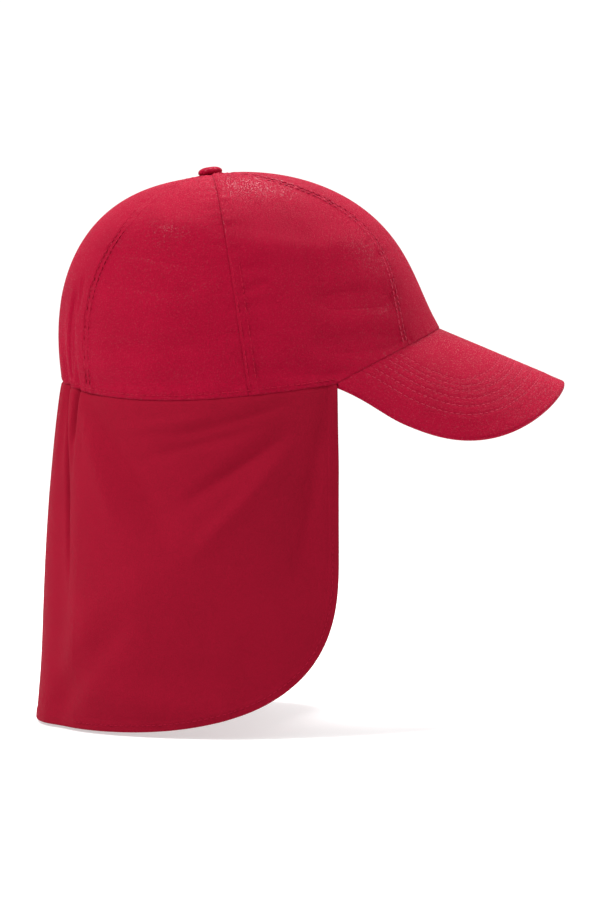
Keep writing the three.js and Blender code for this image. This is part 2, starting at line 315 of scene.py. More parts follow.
# %% [markdown]
# ## Cotton
# The cloth is a brushed twill: fine diagonal ribs, loose fibre ends, and a colour that is never
# quite even. The ribs and fibres are a bump, because they are far finer than any mesh. A few
# fibres shine as small spots of coat, which makes the highlights grainy, a trace of sheen stands
# for the fuzz, and a slow noise shifts the red as dye and handling do. A picture of cloth could
# be laid on instead, but noise needs no file and stays sharp close in. One function makes every
# cloth and thread, so that they differ in a few numbers alone.

# %% A small language for shaders
class Value:
    """One output of a shader node, with the signs of arithmetic."""

    def __init__(self, tree, socket):
        self.tree = tree
        self.socket = socket

    def math(self, operation, *others):
        node = self.tree.nodes.new("ShaderNodeMath")
        node.operation = operation
        for slot, value in enumerate((self, *others)):
            connect(self.tree, node.inputs[slot], value)
        return Value(self.tree, node.outputs[0])

    def reversed_math(self, operation, other):
        node = self.tree.nodes.new("ShaderNodeMath")
        node.operation = operation
        connect(self.tree, node.inputs[0], other)
        connect(self.tree, node.inputs[1], self)
        return Value(self.tree, node.outputs[0])

    def __add__(self, other):
        return self.math("ADD", other)

    def __radd__(self, other):
        return self.math("ADD", other)

    def __sub__(self, other):
        return self.math("SUBTRACT", other)

    def __rsub__(self, other):
        return self.reversed_math("SUBTRACT", other)

    def __mul__(self, other):
        return self.math("MULTIPLY", other)

    def __rmul__(self, other):
        return self.math("MULTIPLY", other)

    def clamped(self):
        """The value held between 0 and 1."""
        return self.math("MINIMUM", 1.0).math("MAXIMUM", 0.0)


def connect(tree, target, value):
    """Sets a socket to a number or a colour, or links it to a value."""
    if isinstance(value, Value):
        tree.links.new(value.socket, target)
    else:
        target.default_value = value


class Graph:
    """The node tree of one material."""

    def __init__(self, name):
        self.material = bpy.data.materials.new(name)
        self.material.use_nodes = True
        self.tree = self.material.node_tree
        self.tree.nodes.clear()

    def node(self, kind, output=0, settings=None, **inputs):
        """Adds a node, makes its settings, then fills its inputs by name and returns an output."""
        made = self.tree.nodes.new(kind)
        for key, value in (settings or {}).items():
            setattr(made, key, value)
        for key, value in inputs.items():
            connect(self.tree, made.inputs[key], value)
        return Value(self.tree, made.outputs[output])

    def mix(self, share, low, high):
        """A colour between two others."""
        made = self.tree.nodes.new("ShaderNodeMix")
        made.data_type = "RGBA"
        connect(self.tree, made.inputs["Factor"], share)
        connect(self.tree, made.inputs[6], low)
        connect(self.tree, made.inputs[7], high)
        return Value(self.tree, made.outputs[2])

    def finish(self, surface):
        """Joins the surface to the material's output."""
        end = self.tree.nodes.new("ShaderNodeOutputMaterial")
        self.tree.links.new(surface.socket, end.inputs["Surface"])
        return self.material


def colour(red, green, blue):
    return (red, green, blue, 1.0)


# %% Cotton material
PER_METRE = 1000.0
TENTH = 1e-4  # a tenth of a millimetre, in metres
# cells of each noise to a metre
FIBRE_SCALE = 1300.0
GLINT_SCALE = 1500.0
WANDER_SCALE = 700.0
PATCH_SCALE = 45.0
RIB_WANDER = 5.0  # how far the ribs stray, in radians
FIBRE_HEIGHT = 2.2  # against ribs of 0.35
ROUGH = 0.75
ROUGH_SPREAD = 0.3
GLINT_FROM = 0.57  # the noise above which a fibre shines
GLINT_RISE = 9.0
PAINTED_SHADE_SHARE = 0.45  # how far the painted shade of seams, furrows, the hem and the rim's crease goes to the dark red
# the dark red of that painted shade
PAINTED_SHADE_RED = colour(0.12, 0.003, 0.012)
SHEEN_PINK = colour(1.0, 0.55, 0.65)


def cotton(name, light, dark, rib=0.6, depth=2.6, fuzz=0.01, glint=0.6):
    """A twill of two reds: a mix of them by slow noise, fibre noise and two sets of sine ribs.

    rib is the ribs' pitch in millimetres, depth the bump's height in tenths of one, fuzz the
    sheen of the fibre ends and glint how much the smoothest fibres shine.
    """
    graph = Graph(name)
    place = graph.node("ShaderNodeTexCoord", "Object")
    uv = graph.node("ShaderNodeUVMap", settings={"uv_map": "cloth"})
    across = graph.node("ShaderNodeSeparateXYZ", "X", Vector=uv) * PER_METRE
    up = graph.node("ShaderNodeSeparateXYZ", "Y", Vector=uv) * PER_METRE
    wander = graph.node("ShaderNodeTexNoise", Vector=uv, Scale=WANDER_SCALE, Detail=2.0)
    fibre = graph.node("ShaderNodeTexNoise", Vector=place, Scale=FIBRE_SCALE, Detail=3.0)
    patch = graph.node("ShaderNodeTexNoise", Vector=place, Scale=PATCH_SCALE, Detail=4.0)
    turn = 2 * np.pi / rib
    ribs = ((across + up) * turn + wander * RIB_WANDER).math("SINE")
    threads = ((across - up * 0.35) * (turn * 1.7)).math("SINE")
    weave = ribs * 0.35 + threads * 0.15
    height = weave + (fibre - 0.5) * FIBRE_HEIGHT
    bump = graph.node("ShaderNodeBump", Strength=0.8, Distance=depth * TENTH, Height=height)
    shade = (patch - 0.5) * 0.6 + (fibre - 0.5) * 1.2 + weave * 0.25 + 0.5
    red = graph.mix(shade.clamped(), dark, light)
    # painted shade: the seam attribute mixes the red towards a dark red in grooves, stitch furrows
    # and creases
    edge = graph.node("ShaderNodeAttribute", "Fac", settings={"attribute_name": "seam"})
    red = graph.mix(edge * PAINTED_SHADE_SHARE, red, PAINTED_SHADE_RED)
    rough = ROUGH + (fibre - 0.5) * ROUGH_SPREAD
    bright = graph.node("ShaderNodeTexNoise", Vector=place, Scale=GLINT_SCALE, Detail=2.0)
    shining = ((bright - GLINT_FROM) * GLINT_RISE).clamped()
    surface = graph.node(
        "ShaderNodeBsdfPrincipled",
        **{
            "Base Color": red,
            "Roughness": rough,
            "Normal": bump,
            "Specular IOR Level": 0.03,
            "Coat Weight": shining * glint,
            "Coat Roughness": 0.36,
            "Sheen Weight": fuzz,
            "Sheen Roughness": 0.45,
            "Sheen Tint": SHEEN_PINK,
        },
    )
    return graph.finish(surface)


CROWN_LIGHT = colour(0.40, 0.004, 0.031)
CROWN_DARK = colour(0.27, 0.002, 0.019)
FLAP_LIGHT = colour(0.29, 0.005, 0.022)
FLAP_DARK = colour(0.22, 0.004, 0.016)
THREAD_RIB = 0.3
THREAD_GLINT = 0.3
crown_cotton = cotton("crown_cotton", CROWN_LIGHT, CROWN_DARK, glint=0.3)
peak_cotton = cotton("peak_cotton", CROWN_LIGHT, CROWN_DARK)
flap_cotton = cotton("flap_cotton", FLAP_LIGHT, FLAP_DARK, depth=1.2, fuzz=0, glint=0)
thread = cotton(
    "thread",
    colour(0.50, 0.010, 0.042),
    colour(0.38, 0.006, 0.030),
    rib=THREAD_RIB,
    glint=THREAD_GLINT,
)
dull_thread = cotton(
    "dull_thread", colour(0.44, 0.010, 0.038), colour(0.34, 0.006, 0.028), rib=THREAD_RIB, glint=0
)
bright_thread = cotton(
    "bright_thread",
    colour(0.60, 0.05, 0.10),
    colour(0.46, 0.03, 0.06),
    rib=THREAD_RIB,
    glint=THREAD_GLINT,
)


def dress(thing, material, slot, *nodes):
    """Gives a piece its cloth, hangs it on the root and hides the CAD nodes that it stands for;
    slot is not used.
    """
    thing.data.materials.append(material)
    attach(thing, "root")
    if nodes:
        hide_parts(*nodes)
    print(thing.name, len(thing.data.polygons), "faces of", material.name)
    return thing


# %% [markdown]
# ## Crown panels
# On the real cap the panels are sewn face to face, and their allowances are turned to one side
# and stitched down. That leaves a narrow groove on the seam, a low ridge beside it as wide as
# the allowance, and small puckers across it where the thread draws in. All of that is a relief
# along the normals, written as a function of the distance from the edge. A cloth simulation
# would also pucker, but not in the same place each time.

# %% Seams and relief
FELL_WIDTH = 4.8  # the turned allowance
FELL_FADE = 1.1
FELL_LIFT = 0.2
SEAM_GROOVE = 0.13
RIM_GROOVE = 0.3
RIM_GROOVE_PEAK = 0.7  # how much deeper it is over the peak
PEAK_END_MARGIN = 3.0  # degrees past the peak's end
PEAK_END_FADE = 0.08
RADIAN_ROUND = 90.0  # millimetres that a radian spans round the rim
ROW_INNER = 1.1  # first row of stitches from the seam
ROW_OUTER = 4.2  # second row, on the allowance's edge
RIM_ROW = 2.6  # row of stitches above the rim
ROW_WIDTH = 0.45  # half width of the furrow that a row draws in
STITCH_SINK = 0.04
PUCKER_DEPTH = 0.11
PUCKER_REACH = 6.5
DENT_DEPTH = 0.4  # of the slow dents of soft cloth
DENT_START = 25.0  # how far up they reach their depth
CREASE_START = 4.0
TIP_CLEAR = 7.5  # the radius within which the button hides the seams
TIP_FADE = 4.0

# rim angle, top angle and bow of each seam on the left half, in degrees
SEAMS = {"front": (35.0, 60.0, 10.0), "side": (91.5, 91.0, 0.0), "back": (149.0, 129.0, 2.0)}


def seam_angle(seam, turn, side=1):
    """The angle of a seam as it climbs: from rim to top with sin^4, less a bow on the way."""
    rim, top, bow = SEAMS[seam]
    climb = rim + (top - rim) * np.sin(turn) ** 4 - bow * np.abs(np.sin(2 * turn)) ** 1.5
    return side * np.radians(climb)


def pucker(run, distance, seed):
    """Small ripples across a seam: waves along it that die out a few millimetres away."""
    rng = np.random.default_rng(seed)
    total = 0
    for pitch in (5.3, 7.9, 12.4):
        phase = rng.uniform(0, 2 * np.pi)
        total = total + np.sin(2 * np.pi * run / pitch + phase + 0.8 * np.sin(run / 17 + phase))
    fading = bell(distance, PUCKER_REACH) * (1 - 0.7 * bell(distance, 0.8))
    return PUCKER_DEPTH * total * fading


DENT_WAVES = 6


def softness(angle, up, seed):
    """Slow dents of soft cloth: the mean of a few long waves round the crown and up it."""
    rng = np.random.default_rng(seed)
    total = 0
    for _ in range(DENT_WAVES):
        round_it, climbs, phase = rng.uniform(1.5, 6), rng.uniform(-5, 5), rng.uniform(0, 2 * np.pi)
        total = total + np.sin(round_it * angle + climbs * up + phase)
    return total / DENT_WAVES


# the crown's folds: angle and height above the rim at both ends, half width and depth
CROWN_CREASES = (
    (66, 44, 34, 25, 6.0, -2.3),
    (70, 23, 38, 5, 6.5, -2.0),
    (90, 14, 62, 4, 4.0, -1.3),
    (90, 77, 36, 59, 7.0, 1.4),
    (134, 87, 98, 86, 7.0, 1.5),
    (138, 65, 100, 60, 11.0, -2.2),
    (136, 25, 104, 28, 4.5, -1.3),
    (150, 7, 102, 10, 3.5, -1.2),
    (156, 48, 158.5, 6, 2.4, -3.8),
    (152.5, 57, 152.5, 40, 2.4, -1.4),
    (88.5, 64.4, 79, 63, 1.8, -0.8),
    (90, 53, 80, 54.8, 1.8, -0.9),
    (95, 44.3, 82, 44.6, 1.7, -0.7),
    (98, 31.6, 83, 32, 1.9, -0.8),
    (93, 21, 84, 22, 1.9, -0.6),
)


def edge_places(width, count, fine):
    """Places across a width: fine steps in from both edges and even ones between them."""
    reach = np.minimum(1, width * 0.4 / fine[-1])[:, None]
    near = fine[None, :] * reach
    start, end = near[:, -1:], width[:, None] - near[:, -1:]
    middle = start + (end - start) * np.linspace(0, 1, count)[None, 1:-1]
    return np.concatenate([near, middle, width[:, None] - near[:, ::-1]], axis=1)


RIM_TURN_SPAN = 105.0
RIM_TURN_POWER = 1.12


def turn_at(height):
    """The turn that lies about so many millimetres up from the rim: arcsin((h / span)^power)."""
    return np.arcsin((height / RIM_TURN_SPAN) ** RIM_TURN_POWER)


# distances from a seam and from the rim that the relief there needs
FINE_EDGE = np.array([0, 0.25, 0.5, 0.8, 1.1, 1.5, 2.1, 2.9, 3.7, 4.2, 4.6, 4.9, 5.2, 5.6, 6.4])
FINE_RIM = np.array([0, 0.2, 0.45, 0.8, 1.3, 1.8, 2.2, 2.6, 3.0, 3.5, 4.2, 5.1, 6.2, 7.4])
PANEL_COLUMNS = 84
PANEL_ROWS = 78
FINE_RIM_END = 0.085  # the turn just above the fine rows
turns = np.concatenate([turn_at(FINE_RIM), np.linspace(FINE_RIM_END, np.pi / 2, PANEL_ROWS)])


def panel(name, first, last, first_side, last_side, felled, seed):
    """One panel between two seams, as a closed piece. felled says at which edges it is raised."""
    start = seam_angle(first, turns, first_side)
    end = seam_angle(last, turns, last_side)
    end = np.where(end < start, end + 2 * np.pi, end)
    middle = crown_point((start + end) / 2, turns)
    radius = np.hypot(middle[:, 0] + BUTTON_BEHIND, middle[:, 1])
    width = (end - start) * radius
    places = edge_places(width, PANEL_COLUMNS, FINE_EDGE)
    angle = start[:, None] + places / radius[:, None]
    grid = crown_point(angle.T, np.broadcast_to(turns[:, None], angle.shape).T)
    outward = normals(grid)
    from_first, from_last = places.T, (width[:, None] - places).T
    run = lengths(grid, 1)
    beside = np.minimum(from_first, from_last)
    shown = ease((radius - TIP_CLEAR) / TIP_FADE)[None, :]
    peak_end = np.radians(PEAK_SPREAD + PEAK_END_MARGIN)
    over_peak = ease((peak_end - np.abs(wrapped(angle.T))) / PEAK_END_FADE)
    relief = -SEAM_GROOVE * bell(beside, 0.5)
    relief -= (RIM_GROOVE + RIM_GROOVE_PEAK * over_peak) * bell(run, 0.6)
    for distance, raised in ((from_first, felled[0]), (from_last, felled[1])):
        if raised:
            within = ease(distance) * (1 - ease((distance - FELL_WIDTH) / FELL_FADE))
            relief += FELL_LIFT * within * shown
            for row in (ROW_INNER, ROW_OUTER):
                relief -= STITCH_SINK * bell(distance - row, ROW_WIDTH) * shown
        relief += pucker(run, distance, seed + int(raised)) * shown
    relief -= STITCH_SINK * bell(run - RIM_ROW, 0.5)
    relief += 0.8 * pucker(angle.T * RADIAN_ROUND, run, seed + 5)
    dents = softness(angle.T, grid[..., 2] / CROWN_HEIGHT, seed)
    relief += DENT_DEPTH * dents * ease(run / DENT_START) * shown
    above_rim = grid[..., 2] - grid[:, :1, 2]
    relief += creases(CROWN_CREASES, angle.T, above_rim) * ease(run / CREASE_START)
    outer = grid + outward * relief[..., None]
    inner = grid - outward * CROWN_WALL
    # painted shade: darker in the seam grooves, and much darker in the crease along the rim, most
    # over the peak
    seam_shade = 0.15 * bell(beside, 0.3) + (0.6 + over_peak) * bell(run, 0.5 + 0.5 * over_peak)
    shades = {"seam": np.minimum(seam_shade, 1)}
    made = shell(name + "_cloth", worn(outer), worn(inner), cloth_uv(grid), shades)
    return dress(made, crown_cotton, "crown_cotton", name)


# %% Six panels
panel("front_panel", "front", "front", -1, 1, (False, False), 11)
panel("left_side_panel", "front", "side", 1, 1, (True, True), 12)
panel("right_side_panel", "side", "front", -1, -1, (True, True), 13)
panel("left_back_panel", "side", "back", 1, 1, (False, True), 14)
panel("right_back_panel", "back", "side", -1, -1, (True, False), 15)
panel("rear_panel", "back", "back", 1, -1, (False, False), 16)

# %% [markdown]
# ## Peak
# A stiff core is covered with the same twill and stitched through in rows that follow the outer
# edge, so the cloth swells a little between them. The flat outline is half a superellipse in
# front and a slow taper behind, and every point of it is then laid on the drooping cylinder. A
# flat mesh under a Simple Deform modifier would bend too, but the rim and the rows of stitches
# need the same bend, and a formula serves all three.

# %% Peak
PEAK_EDGE_ROUND = 1.5
PEAK_ROWS = (14.0, 19.0, 23.8, 28.5, 32.0, 36.5)  # rows of stitches, in from the outer edge
PEAK_SWELL = 0.22
PEAK_ROW_DEPTH = 0.22
PEAK_EDGE_SHARE = 0.94  # of half the wall that the rounding takes
PEAK_COLUMNS = 260
PEAK_STEPS = 96
END_WIDTH = 2.0
FRONT_SHARE = 0.8  # of the outline, counted from the middle, that is the superellipse


def peak_outline(share):
    """The outer edge in the flat, from one end at -1 round the front to the other at 1."""
    end_across, end_ahead = on_peak(*opening_point(np.radians(PEAK_SPREAD)))
    far = np.abs(share)
    turn = np.minimum(far / FRONT_SHARE, 1) * np.pi / 2
    front_across = PEAK_HALF_WIDTH * np.sin(turn) ** (2 / PEAK_POWER)
    front_ahead = PEAK_LENGTH * np.maximum(np.cos(turn), 0) ** (2 / PEAK_POWER)
    back = np.clip((far - FRONT_SHARE) / (1 - FRONT_SHARE), 0, 1)
    back_ahead = end_ahead * back
    bowed = PEAK_HALF_WIDTH * np.sqrt(1 - (back_ahead / PEAK_REAR_TAPER) ** 2)
    back_across = bowed + (end_across + END_WIDTH - bowed) * ease(back)
    across = np.where(far <= FRONT_SHARE, front_across, back_across)
    ahead = np.where(far <= FRONT_SHARE, front_ahead, back_ahead)
    return np.stack([np.sign(share) * across, ahead], axis=-1)


def nearest(points, line):
    """The distance from each of many flat points to a polyline, by its segments."""
    a, b = line[:-1], line[1:]
    step = b - a
    best = np.full(points.shape[:-1], np.inf)
    for p, d in zip(a, step):
        rel = points - p
        t = np.clip((rel @ d) / max(d @ d, 1e-12), 0, 1)
        best = np.minimum(best, np.linalg.norm(rel - t[..., None] * d, axis=-1))
    return best


def peak():
    """Ruled from the rim to the outline in the flat, laid on the cylinder, with sunk rows."""
    shares = -np.sin(np.linspace(-1, 1, PEAK_COLUMNS) * np.pi / 2)
    root = np.stack(on_peak(*opening_point(np.radians(PEAK_SPREAD) * shares, CROWN_WALL + 0.6)), -1)
    edge = peak_outline(shares)
    along = np.concatenate([np.linspace(0, 0.965, PEAK_STEPS), [0.975, 0.984, 0.991, 0.996, 1.0]])
    flat = root[:, None] + (edge - root)[:, None] * along[None, :, None]
    outline = peak_outline(np.linspace(-1, 1, 400))
    inside = nearest(flat, outline)
    swell = PEAK_SWELL * (1 - ease((13 - inside) / 6)) - PEAK_SWELL
    for row in PEAK_ROWS:
        swell -= PEAK_ROW_DEPTH * bell(inside - row, 0.6)
    rounded = 1 - np.sqrt(1 - np.clip(1 - inside / PEAK_EDGE_ROUND, 0, 1) ** 2)
    taken = PEAK_WALL / 2 * PEAK_EDGE_SHARE * rounded
    top = peak_point(flat[..., 0], flat[..., 1], taken - swell - PEAK_SWELL)
    low = peak_point(flat[..., 0], flat[..., 1], PEAK_WALL - taken)
    # painted shade in the furrows of the sunk rows of stitches
    shade = np.zeros(flat.shape[:2])
    for row in PEAK_ROWS:
        shade += 0.25 * bell(inside - row, 0.5)
    made = shell("peak_cloth", worn(top), worn(low), flat, {"seam": shade})
    return dress(made, peak_cotton, "peak_cotton", "peak")


peak()

# %% [markdown]
# ## Neck flap
# One light cloth is sewn under the rim from one end of the peak round the nape to the other. It
# hangs straight, flares a little at the back, keeps the gathers of the elastic for a few
# centimetres and then falls in slow folds. Its free edge is turned once and stitched. Simulated
# cloth would drape well but put its folds anywhere, so each fold has a row of numbers here.

# %% Flap
FLAP_LENGTH = 175.5
FLAP_WALL = 1.0
FLAP_CORNER_WIDTH = 140.0
FLAP_CORNER_HEIGHT = 92.0
FLAP_CORNER_POWER = 2.8
FLAP_HEM = 5.0
FLAP_HEM_ROW = 3.4
FLAP_HEM_LIFT = 0.3
FLAP_EASE = 0.8
FLAP_SETBACK = 1.1  # from the peak's end to the flap's front edge
FLAP_TUCK = 2.5  # how far its top is tucked up inside the crown
FLAP_FLARE = np.array([0.0, 3.0, 11.0])  # in front, at the side and behind
FOLD_FADE = 0.35  # the share of the fall over which a fold comes and goes
# each fold's angle at the rim, how far it slants back by the hem, its half width, all in
# degrees, its depth, and the shares of the fall at which it begins and ends
FLAP_FOLDS = (
    (76, 0, 7, -2.2, 0.0, 0.75),
    (142, -62, 9, -2.5, 0.0, 0.7),
    (60, 108, 20, 3.0, 0.1, 1.6),
    (162, -8, 7, -3.2, 0.0, 1.2),
)
# finer folds: angle and depth below the rim at both ends, half width and depth of the fold
FLAP_CREASES = (
    (166, -25, 155.5, 84, 2.0, -5.4),
    (154, -12, 156, 26, 1.7, -2.8),
    (146, 4, 114, 72, 5.0, -2.2),
    (147, 12, 132, 62, 5.0, 2.2),
    (82, 22, 110, 52, 4.5, -2.2),
    (81, 32, 106, 76, 4.5, 2.0),
    (128, 112, 158, 166, 8.0, -3.2),
    (68.5, 2, 78.5, 92, 4.5, -1.8),
    (113, 18, 82, 7, 3.2, -1.4),
    (121, 28, 90, 17, 3.2, -1.3),
    (128, 15, 105, 9, 3.0, 0.9),
    (142, 149, 88, 160, 8.0, 2.0),
)
FLAP_ROWS = 130
FLAP_CORNER_COLUMNS = 92
FLAP_BACK_COLUMNS = 70
# distances from the front edge, and the last share of the fall, that the hem's relief needs
FLAP_FINE_EDGE = np.array([0.3, 0.7, 1.2, 2.0, 2.8, 3.4, 4.0, 4.6, 5.1, 5.6, 6.4])
FLAP_FINE_SHARE = 0.07
FLAP_FINE_ROWS = 14
TUCK_IN = 0.8  # how far the flap steps in under the rim
TUCK_HEIGHT = 2.2
TUCK_START = 0.4
HEM_THICK = 0.4  # what the turned hem adds inside
HEM_FADE = 0.7
HEM_ROUND = 0.9
# strength of the painted shade along the hem
HEM_SHADE = 0.1
RIPPLE_PITCHES = (9.0, 13.0, 21.0)
RIPPLE_DEPTH = 0.06
RIPPLE_REACH = 5.0
RIPPLE_SEED = 31

rim_start = np.radians(PEAK_SPREAD) + FLAP_SETBACK / (OPENING_WIDTH / 2)
rim_angles = np.linspace(rim_start, 2 * np.pi - rim_start, 2001)
rim_line = worn(np.stack([*opening_point(rim_angles), rim_height(rim_angles)], axis=-1))
rim_run = lengths(rim_line, 0)
flap_width = rim_run[-1]
hem_level = rim_line[len(rim_line) // 2, 2] - FLAP_LENGTH
print(f"flap sewn along {flap_width:.1f} mm of the rim, hem at {hem_level:.1f} mm")


def corner_along(turn):
    """How far in from a front edge the rounded corner is, by its turn: w (1 - cos^(2 / p))."""
    return FLAP_CORNER_WIDTH * (1 - np.cos(turn * np.pi / 2) ** (2 / FLAP_CORNER_POWER))


def hem_height(along, margin=0.0):
    """The hem's height: level behind, and a superellipse's quarter up to each front edge."""
    from_edge = np.minimum(along, flap_width - along)
    inward = np.clip((FLAP_CORNER_WIDTH - from_edge) / (FLAP_CORNER_WIDTH - margin), 0, 1)
    fall = (1 - inward**FLAP_CORNER_POWER) ** (1 / FLAP_CORNER_POWER)
    return hem_level + FLAP_CORNER_HEIGHT - (FLAP_CORNER_HEIGHT - margin) * fall


def flap_point(along, height, inset=0.0):
    """The hanging cloth at a distance along the rim and a height, both in millimetres.

    Its reach out from the rim is the flare, which grows as a sine of the share of the fall, with
    the folds added and the gathers and the step under the rim taken off.
    """
    angle = np.interp(along, rim_run, rim_angles)
    x, y = opening_point(angle)
    top = worn(np.stack([x, y, rim_height(angle)], axis=-1))
    down = top[..., 2] - height
    share = np.clip(down / (top[..., 2] - hem_level), 0, 1)
    flare = around(FLAP_FLARE, angle) * np.sin(share**FLAP_EASE * np.pi / 2)
    size = np.abs(wrapped(angle))
    folds = 0
    for at, slant, wide, deep, begins, ends in FLAP_FOLDS:
        away = size - np.radians(at + slant * share)
        lasting = ease((share - begins) / FOLD_FADE) * ease((ends - share) / FOLD_FADE)
        folds = folds + deep * bell(away, np.radians(wide)) * lasting
    folds = folds + creases(FLAP_CREASES, angle, down)
    drawn = GATHER_DEPTH * gather(angle) * (1 - ease(down / GATHER_FALL))
    tucked = TUCK_IN * (1 - ease((down + TUCK_START) / TUCK_HEIGHT))
    reach = flare + folds - drawn - tucked - inset
    x = top[..., 0] + np.cos(angle) * reach
    y = top[..., 1] + np.sin(angle) * reach
    return np.stack([x, y, height], axis=-1)


def flap_edge_line(count=700):
    """The free edge in the flat: down one front edge, along the hem and up the other."""
    corner = corner_along(np.linspace(0, 1, count // 2))
    left = np.stack([corner, hem_height(corner)], axis=-1)
    right = np.stack([flap_width - corner[::-1], hem_height(corner[::-1])], axis=-1)
    top = rim_line[0, 2]
    return np.concatenate([[[0, top]], left, right, [[flap_width, top]]])


def flap():
    """The cloth between rim and hem as a shell, with its hem, ripples and furrow as relief."""
    corner = corner_along(np.linspace(0, 1, FLAP_CORNER_COLUMNS))
    near = np.unique(np.concatenate([corner, FLAP_FINE_EDGE]).round(3))
    between = np.linspace(FLAP_CORNER_WIDTH, flap_width / 2, FLAP_BACK_COLUMNS)[1:]
    half = np.concatenate([near, between])
    along = np.concatenate([half, flap_width - half[-2::-1]])[::-1]
    angle = np.interp(along, rim_run, rim_angles)
    top = worn(np.stack([*opening_point(angle), rim_height(angle)], axis=-1))[:, 2] + FLAP_TUCK
    hem = hem_height(along)
    last = 1 - FLAP_FINE_SHARE * np.linspace(0.9, 0, FLAP_FINE_ROWS) ** 1.6
    spans = np.concatenate([np.linspace(0, 1 - FLAP_FINE_SHARE, FLAP_ROWS), last])
    height = top[:, None] + (hem - top)[:, None] * spans[None, :]
    distance = np.broadcast_to(along[:, None], height.shape)
    flat = np.stack([distance, height], axis=-1)
    inside = nearest(flat, flap_edge_line())
    grid = flap_point(distance, height)
    outward = normals(grid)
    rng = np.random.default_rng(RIPPLE_SEED)
    stray = 1.2 * np.sin(height / 40)
    ripple = sum(
        np.sin(2 * np.pi * distance / pitch + rng.uniform(0, 6) + stray)
        for pitch in RIPPLE_PITCHES
    )
    turned = 1 - ease((inside - FLAP_HEM) / HEM_FADE)
    relief = FLAP_HEM_LIFT * turned
    relief = relief - STITCH_SINK * bell(inside - FLAP_HEM_ROW, 0.5)
    relief = relief + RIPPLE_DEPTH * ripple * bell(inside - FLAP_HEM_ROW, RIPPLE_REACH)
    rounded = 0.6 * (1 - np.sqrt(1 - np.clip(1 - inside / HEM_ROUND, 0, 1) ** 2))
    outer = grid + outward * (relief - rounded)[..., None]
    thick = FLAP_WALL + HEM_THICK * turned - rounded
    inner = grid - outward * thick[..., None]
    # painted shade along the hem's row of stitches and the edge of the turned hem
    shade = HEM_SHADE * (bell(inside - FLAP_HEM_ROW, 0.4) + bell(inside - FLAP_HEM - 0.5, 0.5))
    made = shell("neck_flap_cloth", outer, inner, flat, {"seam": shade})
    return dress(made, flap_cotton, "flap_cotton", "neck_flap")


neck_flap = flap()

# %% [markdown]
# ## Button
# A flat metal mould covered with a disc of the same cotton, gathered in underneath. It is a lathe
# form: a profile turned round the line through the panels' tips. A Screw modifier could turn it,
# but as an array the folds of the gathered cloth can be added while it turns.

# %% Button
BUTTON_RADIUS = 6.3
BUTTON_RISE = 4.2
BUTTON_SIDES = 72
BUTTON_FOLDS = 9
BUTTON_FOLD_SHARE = 0.012
DOME_SHARE = 0.62  # of the rise, above the widest ring
UNDER_REACH = np.array([0.99, 0.96, 0.9, 0.8, 0.5])
UNDER_RISE = np.array([0.28, 0.16, 0.06, 0, 0])
SEAT = 0.1


def button_profile():
    """The section from the top to the underside: reach sin^0.75 and a cosine dome, then a lip."""
    climb = np.linspace(0, 1, 26) * np.pi / 2
    dome_rise = 1 - DOME_SHARE + DOME_SHARE * np.cos(climb)
    reach = np.concatenate([np.sin(climb) ** 0.75, UNDER_REACH])
    return BUTTON_RADIUS * reach, BUTTON_RISE * np.concatenate([dome_rise, UNDER_RISE])


def button():
    """The profile turned round, with shallow folds at its rim, closed by a fan at each pole."""
    reach, rise = button_profile()
    turn = np.linspace(0, 2 * np.pi, BUTTON_SIDES, endpoint=False)[:, None]
    near_rim = (reach / BUTTON_RADIUS)[None, :] ** 4
    radius = reach[None, :] * (1 + BUTTON_FOLD_SHARE * np.sin(turn * BUTTON_FOLDS) * near_rim)
    base = CROWN_HEIGHT + SEAT
    z = base + np.broadcast_to(rise[None, :], radius.shape)
    x = -BUTTON_BEHIND + radius * np.cos(turn)
    grid = np.stack([x, radius * np.sin(turn), z], axis=-1)[:, 1:]
    columns, rows = grid.shape[:2]
    count = columns * rows
    poles = np.array([[-BUTTON_BEHIND, 0, base + BUTTON_RISE], [-BUTTON_BEHIND, 0, base]])
    points = np.concatenate([grid.reshape(-1, 3), poles])
    quads = grid_faces(columns + 1, rows, flip=True) % count
    first = np.arange(columns) * rows
    after = np.roll(first, -1)
    top = np.stack([np.full(columns, count), first, after], axis=1)
    low = np.stack([np.full(columns, count + 1), after + rows - 1, first + rows - 1], axis=1)
    triangles = np.concatenate([quads[:, [0, 1, 2]], quads[:, [0, 2, 3]], top, low])
    unshaded = {"seam": np.zeros(len(points))}
    made = add_mesh("button_cloth", worn(points), triangles, uv=points[:, :2], values=unshaded)
    return dress(made, crown_cotton, "crown_cotton", "button")


button()

# %% [markdown]
# ## Stitches
# Each stitch is a short bead of thread, half sunk in the cloth: a capsule of a few rings. A row
# is a line of points on the surface, walked in equal steps. All the stitches of one group are
# joined into one mesh, because a real seam is one thread. A bevelled curve would lie on the
# cloth as one unbroken cord, and a bump would leave no stitch in the mesh itself.

# %% Stitches
STITCH_PITCH = 3.1
STITCH_LENGTH = 2.3
THREAD = 0.3  # the thread's radius as it lies
STITCH_START = 1.5
STITCH_END = 1.0
BEAD_SIDES = 6
# along the stitch from -1 to 1, and the share of the thread's radius there
BEAD_RINGS = np.array([[-1.0, 0.25], [-0.85, 0.8], [0.0, 1.0], [0.85, 0.8], [1.0, 0.25]])
BEAD_LIFT = 0.02
BEAD_DIP = 0.1  # how much deeper its ends lie than its middle


def followed(line, run, places):
    """The points of a polyline at some running lengths."""
    return np.stack([np.interp(places, run, line[:, k]) for k in range(3)], axis=-1)


